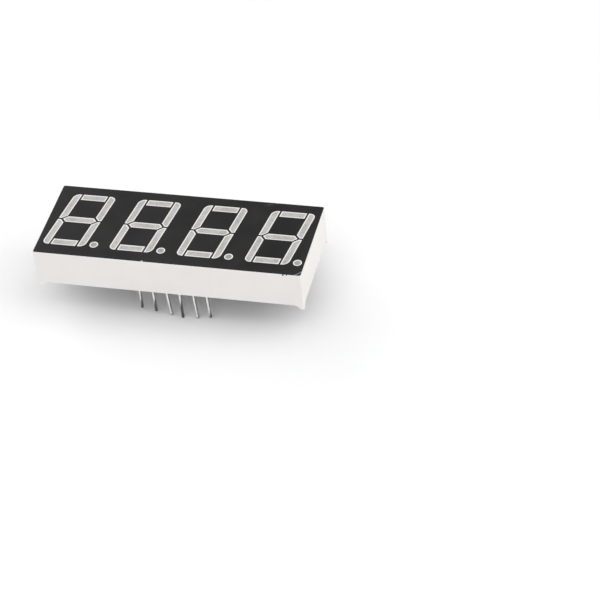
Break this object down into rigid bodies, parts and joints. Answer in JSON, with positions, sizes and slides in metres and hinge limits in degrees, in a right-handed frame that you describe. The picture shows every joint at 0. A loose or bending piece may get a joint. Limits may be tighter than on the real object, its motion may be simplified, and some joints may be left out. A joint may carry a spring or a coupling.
{
  "type": "seven segment display module",
  "caption": "Long rectangular LED numeric display: slanted bar digits with round points on a black face, white body with corner feet, smoky potted back, two rows of round pins.",
  "frame": {"origin": "centre of the body's plan, in the plane of the pin tips on which it stands", "axes": "+Z out of the display's face, +Y up the digits, +X along the row of digits from left to right as read"},
  "size_m": [0.0502, 0.019, 0.0147],
  "materials": {
    "housing": "white moulded plastic, faintly satin",
    "face_ink": "black ink, satin",
    "segment_resin": "milky grey diffusing resin, satin, paler at the rim",
    "led_die": "crystal die",
    "bond_wire": "bright fine wire",
    "circuit_board": "black glass epoxy laminate",
    "copper": "copper under dark solder mask",
    "die_pad": "gold flashed copper",
    "solder": "bright solder",
    "potting_resin": "smoky clear epoxy, glossy",
    "pin": "bright tin plating"
  },
  "bodies": {
    "root": {"housing": "housing", "face_ink": "face_ink", "digit_1_segment_a": "segment_resin", "digit_1_segment_b": "segment_resin", "digit_1_segment_c": "segment_resin", "digit_1_segment_d": "segment_resin", "digit_1_segment_e": "segment_resin", "digit_1_segment_f": "segment_resin", "digit_1_segment_g": "segment_resin", "digit_2_segment_a": "segment_resin", "digit_2_segment_b": "segment_resin", "digit_2_segment_c": "segment_resin", "digit_2_segment_d": "segment_resin", "digit_2_segment_e": "segment_resin", "digit_2_segment_f": "segment_resin", "digit_2_segment_g": "segment_resin", "digit_3_segment_a": "segment_resin", "digit_3_segment_b": "segment_resin", "digit_3_segment_c": "segment_resin", "digit_3_segment_d": "segment_resin", "digit_3_segment_e": "segment_resin", "digit_3_segment_f": "segment_resin", "digit_3_segment_g": "segment_resin", "digit_4_segment_a": "segment_resin", "digit_4_segment_b": "segment_resin", "digit_4_segment_c": "segment_resin", "digit_4_segment_d": "segment_resin", "digit_4_segment_e": "segment_resin", "digit_4_segment_f": "segment_resin", "digit_4_segment_g": "segment_resin", "digit_1_point": "segment_resin", "digit_2_point": "segment_resin", "digit_3_point": "segment_resin", "digit_4_point": "segment_resin", "digit_1_led_dice": "led_die", "digit_2_led_dice": "led_die", "digit_3_led_dice": "led_die", "digit_4_led_dice": "led_die", "digit_1_bond_wires": "bond_wire", "digit_2_bond_wires": "bond_wire", "digit_3_bond_wires": "bond_wire", "digit_4_bond_wires": "bond_wire", "circuit_board": "circuit_board", "rear_copper": "copper", "die_pads": "die_pad", "solder_joints": "solder", "potting_resin": "potting_resin", "pin_1": "pin", "pin_2": "pin", "pin_3": "pin", "pin_4": "pin", "pin_5": "pin", "pin_6": "pin", "pin_7": "pin", "pin_8": "pin", "pin_9": "pin", "pin_10": "pin", "pin_11": "pin", "pin_12": "pin"}
  },
  "joints": []
}
